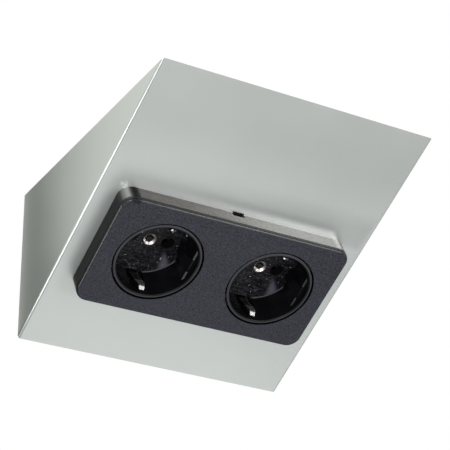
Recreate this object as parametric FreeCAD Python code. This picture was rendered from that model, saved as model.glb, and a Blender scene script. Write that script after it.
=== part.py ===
"""Under-cabinet double socket: a wedge-shaped folded steel housing that fits the corner between
the underside of a wall cabinet and the wall, with two earthed 16 A sockets side by side in its
sloping face. Millimetres. X runs to the user's right, Y towards the wall, Z up. The origin is the
centre of the four cabinet fixing holes, in the plane of the cabinet's underside.

The socket pieces are drawn in the module frame: x to the right, y up the slope, z straight out of
the sloping sheet, with its origin on the sheet's outer face at the middle of the cover."""

import FreeCAD, Part
import math
import os

from FreeCAD import Placement, Rotation, Vector

# Housing, folded from one sheet
HOUSING_WIDTH = 142.0
HOUSING_DEPTH = 143.0
HOUSING_HEIGHT = 76.0
HOUSING_SHEET = 1.2
BEND_INNER_R = 0.3
COVER_FROM_TIP = 96.0

# Fixing angles, welded inside the cheeks
ANGLE_SHEET = 1.5
ANGLE_BEND_R = 0.8
ANGLE_LEG = 15.0
ANGLE_WELD_LEG = 12.0
ANGLE_CORNER_R = 4.0
CABINET_ANGLE_LENGTH = 100.0
CABINET_ANGLE_END_GAP = 8.0
WALL_ANGLE_LENGTH = 48.0
WALL_ANGLE_END_GAP = 14.0
FIXING_HOLE_D = 4.5
FIXING_HOLE_INSET = 7.8
CABINET_HOLE_SPACING = 60.0
CABINET_HOLES_TO_WALL = 55.0
WALL_HOLE_DROP = 38.0

# Cover frame, a snap-on moulding
COVER_LENGTH = 120.5
COVER_HEIGHT = 60.3
COVER_RISE = 9.5
COVER_CORNER_R = 6.5
COVER_EDGE_R = 1.1
COVER_WALL = 2.0
COVER_FACE = 2.2
COLLAR_WALL = 1.4
COLLAR_FOOT_GAP = 0.4
COVER_RIB = 1.2
PRY_NOTCH_WIDTH = 6.0
PRY_NOTCH_HEIGHT = 2.0
PRY_SLOT_REACH = 0.8
NIB_REACH = 0.6
NIB_CLEARANCE = 0.25

# Plug recess, to the standard for earthed two-pin plugs
SOCKET_PITCH = 60.0
RECESS_R = 19.5
RECESS_DEPTH = 17.5
FLAT_REACH = 17.4
FLAT_TOP_DROP = 3.1
FLAT_EDGE = 0.6
GUIDE_WIDTH = 6.8
GUIDE_TIP_WIDTH = 5.4
GUIDE_LEAD_IN = 5.5
GUIDE_HEIGHT = 2.2
PIN_SPACING = 19.0
PIN_D = 4.8
PIN_HOLE_D = 6.0
PIN_LEAD_IN = 0.6
CLIP_SLOT_WIDTH = 9.0
CLIP_SLOT_TOP = -1.6
CLIP_SLOT_GAP = 0.2
CLIP_POCKET_WALL = 1.0
CUP_WALL = 1.2
CUP_FLOOR = 2.0
RING_WIDTH = 1.5
RING_THICKNESS = 2.2
RING_EDGE = 0.4
RING_GAP = 0.9

# Centre screws, raised countersunk heads with a cross recess
CENTRE_HEAD_D = 7.2
CENTRE_HEAD_RISE = 1.1
CENTRE_HEAD_CONE = 1.5
CENTRE_SHANK_D = 3.4
CENTRE_SCREW_REACH = 6.0
CENTRE_CROSS_LENGTH = 4.4
CENTRE_CROSS_WIDTH = 1.1
CENTRE_CROSS_DEPTH = 1.8

# Carrier frame, a steel pressing that lies on the sheet under the cover
CARRIER_GAP = 0.5
CARRIER_SHEET = 1.5
CARRIER_HOLE_GAP = 0.5
TAB_WIDTH = 9.0
TAB_RISE = 4.6
TAB_X = 14.0
TAB_BEND_R = 0.4
TAB_RELIEF = 0.8
TAB_WINDOW_WIDTH = 5.0
TAB_WINDOW_HEIGHT = 1.6
TAB_WINDOW_DROP = 1.1

# Contact box with its lid, and the posts that carry them under the carrier
BOX_MARGIN = 0.3
BOX_CORNER_R = 5.0
BOX_WALL = 1.6
BOX_DEPTH = 18.0
LID_THICKNESS = 3.0
LID_LIP_DEPTH = 1.4
LID_LIP_WALL = 1.2
LID_LIP_GAP = 0.2
POST_R = 3.2
POST_GAP = 0.5
POST_EDGE = 4.3
CUTOUT_GAP = 2.0
CUTOUT_CORNER_R = 7.0

# Contacts, stamped from brass and bronze strip
CONTACT_SHEET = 0.7
CONTACT_BEND_R = 0.5
BAR_WIDTH = 5.0
BAR_CORNER_R = 1.2
BAR_FROM_AXIS = 6.0
BAR_END = 4.0
BAR_POCKET_DEPTH = 0.5
STRIP_CLEARANCE = 0.3
TULIP_WIDTH = 5.2
TULIP_HALF_GAP = 3.2
TULIP_PINCH = 0.2
TULIP_FLARE = 0.9
TULIP_TOP_DROP = 1.6
TULIP_FLARE_HEIGHT = 3.0
TULIP_SPRING_HEIGHT = 5.0
TULIP_TONGUE_WIDTH = 4.4
RIVET_D = 2.0
RIVET_HEAD_D = 3.6
RIVET_HEAD_HEIGHT = 0.6
EARTH_WIDTH = 7.0
EAR_WIDTH = 4.4
EARTH_LINK_WIDTH = 6.0
EARTH_LINK_Y = -14.5
EAR_FOOT_INSET = 0.3
EAR_NOSE_INSET = 3.6
EAR_NOSE_Z = 6.0
EAR_TIP_INSET = 1.9
EAR_TIP_Z = 8.3
EAR_KNEE_Z = -5.2
EAR_CURVE_R = 1.8
EAR_TAPER_Z = 1.5
EAR_TIP_WIDTH = 2.2
THREAD_COLLAR_WALL = 0.9
THREAD_COLLAR_DEPTH = 1.6

# Terminals
TERMINAL_X = 7.0
TERMINAL_LENGTH = 6.4
TERMINAL_HEIGHT = 7.5
TERMINAL_BORE_D = 3.2
TERMINAL_BORE_RISE = 2.9
TERMINAL_EDGE = 0.4
EARTH_CLAMP_SIDE = 6.4
EARTH_CLAMP_THICKNESS = 1.2
PILLAR_ACROSS_FLATS = 5.0

# Small screws and nuts
SCREW_D = 3.0
SCREW_CLEARANCE = 0.2
PAN_HEAD_D = 5.6
PAN_HEAD_HEIGHT = 1.9
PAN_CROSS_LENGTH = 3.2
PAN_CROSS_WIDTH = 0.8
PAN_CROSS_DEPTH = 1.1
MODULE_SCREW_REACH = 8.0
CARRIER_SCREW_INSET = 4.6
CARRIER_SCREW_TAIL = 1.2
NUT_ACROSS_FLATS = 5.5
NUT_HEIGHT = 2.4
BONDING_SCREW_GRIP = 3.0
TERMINAL_SCREW_GAP = 0.3

# Cable grommet in the contact box's lower wall
CABLE_D = 7.0
GROMMET_BORE_GAP = 0.1
GROMMET_WALL = 1.4
GROMMET_FLANGE_WIDTH = 2.2
GROMMET_FLANGE_THICKNESS = 2.6
GROMMET_FLANGE_EDGE = 0.8
GROMMET_SEAL_LENGTH = 2.0
GROMMET_RELIEF = 0.4
GROMMET_LIP_WIDTH = 1.1
GROMMET_LIP_THICKNESS = 1.4
CABLE_ENTRY_DROP = 9.4

# Levels and places that follow from the sizes above
SLOPE_LENGTH = math.hypot(HOUSING_DEPTH, HOUSING_HEIGHT)
SLOPE_SIN = HOUSING_HEIGHT / SLOPE_LENGTH
SLOPE_COS = HOUSING_DEPTH / SLOPE_LENGTH
SLOPE_ANGLE = math.degrees(math.atan2(HOUSING_HEIGHT, HOUSING_DEPTH))
WALL_Y = CABINET_HOLES_TO_WALL
TIP_Y = WALL_Y - HOUSING_DEPTH
CHEEK_INSIDE_X = HOUSING_WIDTH / 2 - HOUSING_SHEET
TAB_ROOT = TAB_BEND_R + CARRIER_SHEET + TAB_RELIEF
SOCKET_X = {"left": -SOCKET_PITCH / 2, "right": SOCKET_PITCH / 2}
RIM_Z = COVER_RISE
FLOOR_Z = RIM_Z - RECESS_DEPTH
CUP_BOTTOM_Z = FLOOR_Z - CUP_FLOOR
RING_OUTER_R = RECESS_R + RING_WIDTH
CUP_OUTER_R = RECESS_R + CUP_WALL
COVER_HOLE_R = RING_OUTER_R + RING_GAP
COVER_INSIDE_Z = COVER_RISE - COVER_FACE
CARRIER_LENGTH = COVER_LENGTH - 2 * (COVER_WALL + CARRIER_GAP)
CARRIER_HEIGHT = COVER_HEIGHT - 2 * (COVER_WALL + CARRIER_GAP)
CARRIER_CORNER_R = COVER_CORNER_R - COVER_WALL - CARRIER_GAP
BOX_HEIGHT = 2 * (CUP_OUTER_R + BOX_MARGIN)
POST_Y = BOX_HEIGHT / 2 - POST_EDGE
POST_REACH = CUP_OUTER_R + POST_R + POST_GAP
POST_X = SOCKET_PITCH / 2 + math.sqrt(POST_REACH**2 - POST_Y**2)
BOX_LENGTH = 2 * (POST_X + POST_EDGE)
LID_BOTTOM_Z = CUP_BOTTOM_Z - LID_THICKNESS
BOX_BOTTOM_Z = LID_BOTTOM_Z - BOX_DEPTH
BOX_FLOOR_Z = BOX_BOTTOM_Z + BOX_WALL
BAR_BOTTOM_Z = BOX_FLOOR_Z - BAR_POCKET_DEPTH
BAR_TOP_Z = BAR_BOTTOM_Z + CONTACT_SHEET
BAR_Y = BAR_FROM_AXIS + BAR_WIDTH / 2
STRAP_BOTTOM_Z = CUP_BOTTOM_Z - CONTACT_SHEET
CABLE_ENTRY_Z = LID_BOTTOM_Z - CABLE_ENTRY_DROP
GROMMET_BORE_R = CABLE_D / 2 + GROMMET_BORE_GAP
GROMMET_NECK_R = GROMMET_BORE_R + GROMMET_WALL
PIN_OFFSETS = (-PIN_SPACING / 2, PIN_SPACING / 2)
PIN_X = [x + offset for x in SOCKET_X.values() for offset in PIN_OFFSETS]
CORNERS = [(sx, sy) for sx in (-1, 1) for sy in (-1, 1)]
POSTS = [(sx * POST_X, sy * POST_Y) for sx, sy in CORNERS]
CARRIER_SCREWS = [
    (
        sx * (CARRIER_LENGTH / 2 - CARRIER_SCREW_INSET),
        sy * (CARRIER_HEIGHT / 2 - CARRIER_SCREW_INSET),
    )
    for sx, sy in CORNERS
]
POLE_PIN = {"line": PIN_OFFSETS[0], "neutral": PIN_OFFSETS[1]}
POLE_SIDE = {"line": 1, "neutral": -1}
POLE_TERMINAL_X = {"line": -TERMINAL_X, "neutral": TERMINAL_X}
RIVETS = [
    (x + POLE_PIN[pole], side * BAR_Y)
    for pole, side in POLE_SIDE.items()
    for x in SOCKET_X.values()
]
MODULE = Placement(
    Vector(0, TIP_Y + COVER_FROM_TIP * SLOPE_COS, -COVER_FROM_TIP * SLOPE_SIN),
    Rotation(Vector(1, 0, 0), 180 - SLOPE_ANGLE),
)
OVERRUN = 1.0
SAME_SIZE = 0.001


def box(x0, x1, y0, y1, z0, z1):
    """A block between two corners, given in either order along y."""
    low_y, high_y = min(y0, y1), max(y0, y1)
    return Part.makeBox(x1 - x0, high_y - low_y, z1 - z0, Vector(x0, low_y, z0))


def disc(radius, z0, z1, x=0.0, y=0.0):
    """An upright cylinder between two levels."""
    return Part.makeCylinder(radius, z1 - z0, Vector(x, y, z0))


def cone(low_radius, high_radius, z0, z1, x=0.0, y=0.0):
    """An upright cone between two levels."""
    return Part.makeCone(low_radius, high_radius, z1 - z0, Vector(x, y, z0))


def join(shapes):
    """One solid from several that touch or overlap, with the seams in its faces removed."""
    first, *rest = shapes
    return first.fuse(rest).removeSplitter()


def same(first, second):
    """Whether two lengths are equal, to well under any size of the part."""
    return abs(first - second) < SAME_SIZE


def upright_edges(shape):
    """The edges that run along z."""
    return [edge for edge in shape.Edges if same(edge.BoundBox.ZLength, edge.Length)]


def edges_at(shape, z):
    """The edges that lie flat at one level."""
    return [
        edge for edge in shape.Edges
        if same(edge.BoundBox.ZMin, z) and same(edge.BoundBox.ZMax, z)
    ]


def rounded_plate(length, height, radius, z0, z1):
    """A flat plate with round corners, centred on the axis."""
    plate = box(-length / 2, length / 2, -height / 2, height / 2, z0, z1)
    return plate.makeFillet(radius, upright_edges(plate))


def hexagon(across_flats, z0, z1, x=0.0, y=0.0):
    """A hexagonal prism."""
    corner_r = across_flats / math.sqrt(3)
    angles = [math.radians(60 * corner) for corner in range(7)]
    points = [Vector(x + corner_r * math.cos(a), y + corner_r * math.sin(a), z0) for a in angles]
    return Part.Face(Part.makePolygon(points)).extrude(Vector(0, 0, z1 - z0))


def turned(points):
    """A solid of revolution about the z axis from its outline, given as radius and height."""
    outline = [Vector(radius, 0, z) for radius, z in points]
    face = Part.Face(Part.makePolygon(outline + outline[:1]))
    return face.revolve(Vector(0, 0, 0), Vector(0, 0, 1), 360)


def rounded_line(points, radii):
    """The edges of a line through flat points, with a tangent arc at each inner point."""
    edges = []
    start = points[0]
    for before, corner, after, radius in zip(points, points[1:], points[2:], radii):
        back, ahead = (before - corner).normalize(), (after - corner).normalize()
        half = back.getAngle(ahead) / 2
        reach = radius / math.tan(half)
        inward = (back + ahead).normalize() * (radius / math.sin(half) - radius)
        first, last = corner + back * reach, corner + ahead * reach
        edges.append(Part.makeLine(start, first))
        edges.append(Part.Arc(first, corner + inward, last).toShape())
        start = last
    edges.append(Part.makeLine(start, points[-1]))
    return edges


def bent_strip(points, radii, thickness, across):
    """A strip bent along flat points with the given inner radii, extruded by the vector across.
    Seen from the tip of across, its other face lies to the right of the points' direction, or to
    the left for a negative thickness."""
    axis = Vector(across).normalize()
    runs = [(b - a).normalize() for a, b in zip(points, points[1:])]
    sides = [run.cross(axis) for run in runs]
    offset = [points[0] + sides[0] * thickness]
    near_radii, far_radii = [], []
    for corner, before, after, run, turn, radius in zip(
        points[1:], sides, sides[1:], runs, runs[1:], radii
    ):
        shift = (before + after) * (thickness / (1 + before.dot(after)))
        offset.append(corner + shift)
        far_inside = run.cross(turn).dot(axis) * thickness < 0
        near_radii.append(radius + abs(thickness) if far_inside else radius)
        far_radii.append(radius if far_inside else radius + abs(thickness))
    offset.append(points[-1] + sides[-1] * thickness)
    edges = rounded_line(points, near_radii) + rounded_line(offset, far_radii)
    edges.append(Part.makeLine(points[0], offset[0]))
    edges.append(Part.makeLine(points[-1], offset[-1]))
    outline = Part.Wire(Part.__sortEdges__(edges))
    return Part.Face(outline).extrude(across)


def cross_recess(length, width, depth, top_z):
    """The tapered cross that a screwdriver fits, to cut from a screw head. Its bottom is half
    as long as its top."""
    blades = []
    for turn in (45, 135):
        blade = box(-length / 2, length / 2, -width / 2, width / 2, top_z - depth, top_z + OVERRUN)
        blade.rotate(Vector(0, 0, 0), Vector(0, 0, 1), turn)
        blades.append(blade)
    top_r = length / 2
    low_r = top_r / 2
    above_r = top_r + (top_r - low_r) / depth * OVERRUN
    taper = cone(low_r, above_r, top_z - depth, top_z + OVERRUN)
    return join(blades).common(taper)


def pan_screw(length):
    """A pan-head screw whose head stands on z zero and whose shank points down."""
    head_r, shank_r = PAN_HEAD_D / 2, SCREW_D / 2
    shoulder = PAN_HEAD_HEIGHT / 2
    screw = turned(
        [
            (0, -length),
            (shank_r, -length),
            (shank_r, 0),
            (head_r, 0),
            (head_r, shoulder),
            (head_r - shoulder, PAN_HEAD_HEIGHT),
            (0, PAN_HEAD_HEIGHT),
        ]
    )
    low_z, high_z = PAN_HEAD_HEIGHT - PAN_CROSS_DEPTH, PAN_HEAD_HEIGHT + OVERRUN
    reach, half = PAN_CROSS_LENGTH / 2, PAN_CROSS_WIDTH / 2
    along_x = box(-reach, reach, -half, half, low_z, high_z)
    along_y = box(-half, half, -reach, reach, low_z, high_z)
    return screw.cut(join([along_x, along_y]))


def moved(shape, x, y, z):
    """A copy of a shape, shifted."""
    copy = shape.copy()
    copy.translate(Vector(x, y, z))
    return copy


def screw_hole(x, y, z0, z1):
    """The clearance hole of a small screw, to cut from what it passes through."""
    return disc(SCREW_D / 2 + SCREW_CLEARANCE, z0 - OVERRUN, z1 + OVERRUN, x, y)


def round_free_corners(angle, free_x):
    """Round the two corners of a fixing angle's holed leg."""
    corners = [
        edge for edge in angle.Edges
        if same(edge.BoundBox.XMax, free_x) and same(edge.Length, ANGLE_SHEET)
    ]
    return angle.makeFillet(ANGLE_CORNER_R, corners)


def cabinet_angle():
    """The right angle under the cabinet, welded to the cheek, with two fixing holes."""
    free_x = CHEEK_INSIDE_X - ANGLE_LEG
    points = [
        Vector(CHEEK_INSIDE_X, 0, -ANGLE_WELD_LEG),
        Vector(CHEEK_INSIDE_X, 0, 0),
        Vector(free_x, 0, 0),
    ]
    angle = bent_strip(points, [ANGLE_BEND_R], ANGLE_SHEET, Vector(0, CABINET_ANGLE_LENGTH, 0))
    angle.translate(Vector(0, WALL_Y - CABINET_ANGLE_END_GAP - CABINET_ANGLE_LENGTH, 0))
    angle = round_free_corners(angle, free_x)
    for y in (-CABINET_HOLE_SPACING / 2, CABINET_HOLE_SPACING / 2):
        x = CHEEK_INSIDE_X - FIXING_HOLE_INSET
        angle = angle.cut(disc(FIXING_HOLE_D / 2, -ANGLE_SHEET - OVERRUN, OVERRUN, x, y))
    return angle


def wall_angle():
    """The right angle along the wall, welded to the cheek, with its fixing hole."""
    free_x = CHEEK_INSIDE_X - ANGLE_LEG
    points = [
        Vector(CHEEK_INSIDE_X, WALL_Y - ANGLE_WELD_LEG, 0),
        Vector(CHEEK_INSIDE_X, WALL_Y, 0),
        Vector(free_x, WALL_Y, 0),
    ]
    angle = bent_strip(points, [ANGLE_BEND_R], -ANGLE_SHEET, Vector(0, 0, WALL_ANGLE_LENGTH))
    angle.translate(Vector(0, 0, -WALL_ANGLE_END_GAP - WALL_ANGLE_LENGTH))
    angle = round_free_corners(angle, free_x)
    hole = Part.makeCylinder(
        FIXING_HOLE_D / 2,
        ANGLE_SHEET + 2 * OVERRUN,
        Vector(CHEEK_INSIDE_X - FIXING_HOLE_INSET, WALL_Y - ANGLE_SHEET - OVERRUN, -WALL_HOLE_DROP),
        Vector(0, 1, 0),
    )
    return angle.cut(hole)


def mirrored(shape):
    """The left-hand copy of a right-hand piece."""
    return shape.mirror(Vector(0, 0, 0), Vector(1, 0, 0))


def housing():
    """The folded sheet: a sloping plate with the module's opening and two triangular cheeks, open
    at the top and back. A small slot lets a blade reach behind the cover's edge."""
    half = HOUSING_WIDTH / 2
    inside = -HOUSING_HEIGHT
    points = [
        Vector(-half, 0, inside),
        Vector(-half, 0, 0),
        Vector(half, 0, 0),
        Vector(half, 0, inside),
    ]
    shell = bent_strip(points, [BEND_INNER_R] * 2, -HOUSING_SHEET, Vector(0, SLOPE_LENGTH, 0))
    shell.translate(Vector(0, COVER_FROM_TIP - SLOPE_LENGTH, 0))
    cutout = rounded_plate(
        BOX_LENGTH + 2 * CUTOUT_GAP, BOX_HEIGHT + 2 * CUTOUT_GAP, CUTOUT_CORNER_R,
        -HOUSING_SHEET - OVERRUN, OVERRUN,
    )
    shell = shell.cut(cutout)
    for x, y in CARRIER_SCREWS:
        shell = shell.cut(screw_hole(x, y, -HOUSING_SHEET, 0))
    pry_slot = box(
        -PRY_NOTCH_WIDTH / 2, PRY_NOTCH_WIDTH / 2,
        COVER_HEIGHT / 2 - COVER_WALL, COVER_HEIGHT / 2 + PRY_SLOT_REACH,
        -HOUSING_SHEET - OVERRUN, OVERRUN,
    )
    shell = shell.cut(pry_slot)
    shell.Placement = MODULE.multiply(shell.Placement)
    wedge = Part.Face(
        Part.makePolygon(
            [
                Vector(-half, TIP_Y, 0),
                Vector(-half, WALL_Y, 0),
                Vector(-half, WALL_Y, -HOUSING_HEIGHT),
                Vector(-half, TIP_Y, 0),
            ]
        )
    ).extrude(Vector(HOUSING_WIDTH, 0, 0))
    return shell.common(wedge)


def snap_places():
    """Where the cover snaps on the carrier: tab centre along x, and the side of the frame."""
    return [(sx * TAB_X, sy) for sx, sy in CORNERS]


def window_levels():
    """The lowest and highest level of a snap tab's window."""
    top = CARRIER_SHEET + TAB_RISE - TAB_WINDOW_DROP
    return top - TAB_WINDOW_HEIGHT, top


def cover_frame():
    """The dark front frame: a hollow rounded plate with two collared openings, snap nibs and
    stiffening ribs inside, and a pry notch in its upper side wall."""
    shell = rounded_plate(COVER_LENGTH, COVER_HEIGHT, COVER_CORNER_R, 0, COVER_RISE)
    shell = shell.makeFillet(COVER_EDGE_R, edges_at(shell, COVER_RISE))
    hollow = rounded_plate(
        COVER_LENGTH - 2 * COVER_WALL, COVER_HEIGHT - 2 * COVER_WALL,
        COVER_CORNER_R - COVER_WALL, -OVERRUN, COVER_INSIDE_Z,
    )
    shell = shell.cut(hollow)
    foot = CARRIER_SHEET + PAN_HEAD_HEIGHT + COLLAR_FOOT_GAP
    collar_r = COVER_HOLE_R + COLLAR_WALL
    wall_x = COVER_LENGTH / 2 - COVER_WALL
    wall_y = COVER_HEIGHT / 2 - COVER_WALL
    parts = [shell]
    for x in SOCKET_X.values():
        side = math.copysign(1, x)
        parts.append(disc(collar_r, foot, COVER_INSIDE_Z, x))
        parts.append(
            box(
                x - COVER_RIB / 2, x + COVER_RIB / 2,
                -wall_y - OVERRUN, wall_y + OVERRUN, foot, COVER_INSIDE_Z,
            )
        )
        ends = sorted((x, side * (wall_x + OVERRUN)))
        parts.append(box(ends[0], ends[1], -COVER_RIB / 2, COVER_RIB / 2, foot, COVER_INSIDE_Z))
    nib_low, nib_high = window_levels()
    nib_half = TAB_WINDOW_WIDTH / 2 - NIB_CLEARANCE
    for x, side in snap_places():
        tip_y = side * (wall_y - CARRIER_GAP - NIB_REACH)
        root_y = side * (wall_y + OVERRUN)
        nib = box(
            x - nib_half, x + nib_half, tip_y, root_y,
            nib_low + NIB_CLEARANCE, nib_high - NIB_CLEARANCE,
        )
        lead = [
            edge for edge in edges_at(nib, nib_low + NIB_CLEARANCE)
            if same(edge.CenterOfMass.y, tip_y)
        ]
        parts.append(nib.makeChamfer(NIB_REACH, lead))
    shell = join(parts)
    for x in SOCKET_X.values():
        shell = shell.cut(disc(COVER_HOLE_R, -OVERRUN, COVER_RISE + OVERRUN, x))
    notch = box(
        -PRY_NOTCH_WIDTH / 2, PRY_NOTCH_WIDTH / 2,
        wall_y - OVERRUN, wall_y + COVER_WALL + OVERRUN, -OVERRUN, PRY_NOTCH_HEIGHT,
    )
    return shell.cut(notch)


def carrier_frame():
    """The steel pressing under the cover: a plate with two round openings and upright snap tabs
    folded from its long edges."""
    plate = rounded_plate(CARRIER_LENGTH, CARRIER_HEIGHT, CARRIER_CORNER_R, 0, CARRIER_SHEET)
    edge_y = CARRIER_HEIGHT / 2
    window_low, window_high = window_levels()
    for x, side in snap_places():
        room = box(
            x - TAB_WIDTH / 2 - TAB_RELIEF, x + TAB_WIDTH / 2 + TAB_RELIEF,
            side * (edge_y - TAB_ROOT), side * (edge_y + OVERRUN), -OVERRUN, CARRIER_SHEET + OVERRUN,
        )
        points = [
            Vector(x - TAB_WIDTH / 2, side * (edge_y - TAB_ROOT), 0),
            Vector(x - TAB_WIDTH / 2, side * edge_y, 0),
            Vector(x - TAB_WIDTH / 2, side * edge_y, CARRIER_SHEET + TAB_RISE),
        ]
        tab = bent_strip(points, [TAB_BEND_R], -side * CARRIER_SHEET, Vector(TAB_WIDTH, 0, 0))
        window = box(
            x - TAB_WINDOW_WIDTH / 2, x + TAB_WINDOW_WIDTH / 2,
            side * (edge_y - TAB_ROOT), side * (edge_y + OVERRUN), window_low, window_high,
        )
        plate = join([plate.cut(room), tab.cut(window)])
    for x in SOCKET_X.values():
        plate = plate.cut(
            disc(CUP_OUTER_R + CARRIER_HOLE_GAP, -OVERRUN, CARRIER_SHEET + OVERRUN, x)
        )
    for x, y in POSTS + CARRIER_SCREWS + [(0.0, EARTH_LINK_Y)]:
        plate = plate.cut(screw_hole(x, y, 0, CARRIER_SHEET))
    return plate


def guide_rib(side, x):
    """One guide rib on a flat of the recess, tapered towards the middle, its top a steep slope
    that leads a plug in."""
    flat_x = x + side * FLAT_REACH
    tip_x = flat_x - side * GUIDE_HEIGHT
    root_x = flat_x + side * OVERRUN
    outline = [
        Vector(root_x, -GUIDE_WIDTH / 2, FLOOR_Z),
        Vector(flat_x, -GUIDE_WIDTH / 2, FLOOR_Z),
        Vector(tip_x, -GUIDE_TIP_WIDTH / 2, FLOOR_Z),
        Vector(tip_x, GUIDE_TIP_WIDTH / 2, FLOOR_Z),
        Vector(flat_x, GUIDE_WIDTH / 2, FLOOR_Z),
        Vector(root_x, GUIDE_WIDTH / 2, FLOOR_Z),
        Vector(root_x, -GUIDE_WIDTH / 2, FLOOR_Z),
    ]
    top = RIM_Z - FLAT_TOP_DROP
    rib = Part.Face(Part.makePolygon(outline)).extrude(Vector(0, 0, top - FLOOR_Z))
    clear_x = tip_x - side * OVERRUN
    above_slope = [
        Vector(flat_x, -GUIDE_WIDTH / 2, top),
        Vector(tip_x, -GUIDE_WIDTH / 2, top - GUIDE_LEAD_IN),
        Vector(clear_x, -GUIDE_WIDTH / 2, top - GUIDE_LEAD_IN),
        Vector(clear_x, -GUIDE_WIDTH / 2, top + OVERRUN),
        Vector(flat_x, -GUIDE_WIDTH / 2, top + OVERRUN),
        Vector(flat_x, -GUIDE_WIDTH / 2, top),
    ]
    return rib.cut(Part.Face(Part.makePolygon(above_slope)).extrude(Vector(0, GUIDE_WIDTH, 0)))


def socket_cup(x):
    """One plug recess: a round cup with a raised ring, two flats with broken top edges and guide
    ribs, closed pockets for the earth ears, pin holes with a lead-in and the screw's seat."""
    flat_top = RIM_Z - FLAT_TOP_DROP
    ring = disc(RING_OUTER_R, RIM_Z - RING_THICKNESS, RIM_Z, x)
    ring = ring.makeChamfer(RING_EDGE, edges_at(ring, RIM_Z))
    pocket_half = CLIP_SLOT_WIDTH / 2 + CLIP_POCKET_WALL
    pocket_reach = CUP_OUTER_R + CLIP_POCKET_WALL
    pockets = box(
        x - pocket_half, x + pocket_half, -pocket_reach, pocket_reach,
        CUP_BOTTOM_Z, CLIP_SLOT_TOP + CLIP_POCKET_WALL,
    )
    body = disc(CUP_OUTER_R, CUP_BOTTOM_Z, RIM_Z - RING_THICKNESS, x)
    cup = join([ring, body, pockets])
    mouth = disc(RECESS_R, flat_top, RIM_Z + OVERRUN, x)
    half_outline = [
        (FLAT_REACH, FLOOR_Z),
        (FLAT_REACH, flat_top - FLAT_EDGE),
        (FLAT_REACH + FLAT_EDGE, flat_top),
    ]
    outline = half_outline + [(-reach, z) for reach, z in reversed(half_outline)]
    corners = [Vector(x + reach, -RECESS_R, z) for reach, z in outline + outline[:1]]
    between_flats = Part.Face(Part.makePolygon(corners)).extrude(Vector(0, 2 * RECESS_R, 0))
    recess = disc(RECESS_R, FLOOR_Z, flat_top, x).common(between_flats)
    for side in (-1, 1):
        recess = recess.cut(guide_rib(side, x))
    cup = cup.cut(mouth).cut(recess)
    lip = [
        edge for edge in edges_at(cup, RIM_Z)
        if same(edge.BoundBox.XLength, 2 * RECESS_R)
    ]
    cup = cup.makeChamfer(RING_EDGE, lip)
    for offset in PIN_OFFSETS:
        cup = cup.cut(disc(PIN_HOLE_D / 2, CUP_BOTTOM_Z - OVERRUN, FLOOR_Z + OVERRUN, x + offset))
        lead_in = cone(
            PIN_HOLE_D / 2, PIN_HOLE_D / 2 + PIN_LEAD_IN, FLOOR_Z - PIN_LEAD_IN, FLOOR_Z, x + offset
        )
        cup = cup.cut(lead_in)
    for side in (-1, 1):
        slot_y = side * (RECESS_R - EAR_FOOT_INSET - CONTACT_BEND_R - CLIP_SLOT_GAP)
        slot = box(
            x - CLIP_SLOT_WIDTH / 2, x + CLIP_SLOT_WIDTH / 2,
            slot_y, side * CUP_OUTER_R, CUP_BOTTOM_Z - OVERRUN, CLIP_SLOT_TOP,
        )
        cup = cup.cut(slot)
    shank_r = CENTRE_SHANK_D / 2
    seat = cone(shank_r, CENTRE_HEAD_D / 2, FLOOR_Z - CENTRE_HEAD_CONE, FLOOR_Z, x)
    cup = cup.cut(seat)
    return cup.cut(disc(shank_r, CUP_BOTTOM_Z - OVERRUN, FLOOR_Z, x))


def centre_screw(x):
    """The raised countersunk screw that clamps a cup and the lid to the earth strap."""
    head_r = CENTRE_HEAD_D / 2
    shank_r = CENTRE_SHANK_D / 2
    dome_r = (head_r**2 + CENTRE_HEAD_RISE**2) / (2 * CENTRE_HEAD_RISE)
    centre_z = CENTRE_HEAD_RISE - dome_r
    middle_z = centre_z + math.sqrt(dome_r**2 - (head_r / 2) ** 2)
    dome = Part.Arc(
        Vector(0, 0, CENTRE_HEAD_RISE), Vector(head_r / 2, 0, middle_z), Vector(head_r, 0, 0)
    ).toShape()
    tip_z = -CENTRE_SCREW_REACH
    corner_points = [
        Vector(head_r, 0, 0),
        Vector(shank_r, 0, -CENTRE_HEAD_CONE),
        Vector(shank_r, 0, tip_z),
        Vector(0, 0, tip_z),
        Vector(0, 0, CENTRE_HEAD_RISE),
    ]
    outline = Part.Wire([dome] + Part.makePolygon(corner_points).Edges)
    screw = Part.Face(outline).revolve(Vector(0, 0, 0), Vector(0, 0, 1), 360)
    recess = cross_recess(
        CENTRE_CROSS_LENGTH, CENTRE_CROSS_WIDTH, CENTRE_CROSS_DEPTH, CENTRE_HEAD_RISE
    )
    return moved(screw.cut(recess), x, 0, FLOOR_Z)


def beside_ear(side, x):
    """The block that is cut away beside both ears of a socket, so that they narrow to their tips."""
    outside = x + side * (EAR_WIDTH / 2 + OVERRUN)
    top = EAR_TIP_Z + CONTACT_SHEET
    corners = [
        Vector(x + side * EAR_WIDTH / 2, -RECESS_R, EAR_TAPER_Z),
        Vector(x + side * EAR_TIP_WIDTH / 2, -RECESS_R, top),
        Vector(outside, -RECESS_R, top),
        Vector(outside, -RECESS_R, EAR_TAPER_Z),
        Vector(x + side * EAR_WIDTH / 2, -RECESS_R, EAR_TAPER_Z),
    ]
    return Part.Face(Part.makePolygon(corners)).extrude(Vector(0, 2 * RECESS_R, 0))


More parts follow.
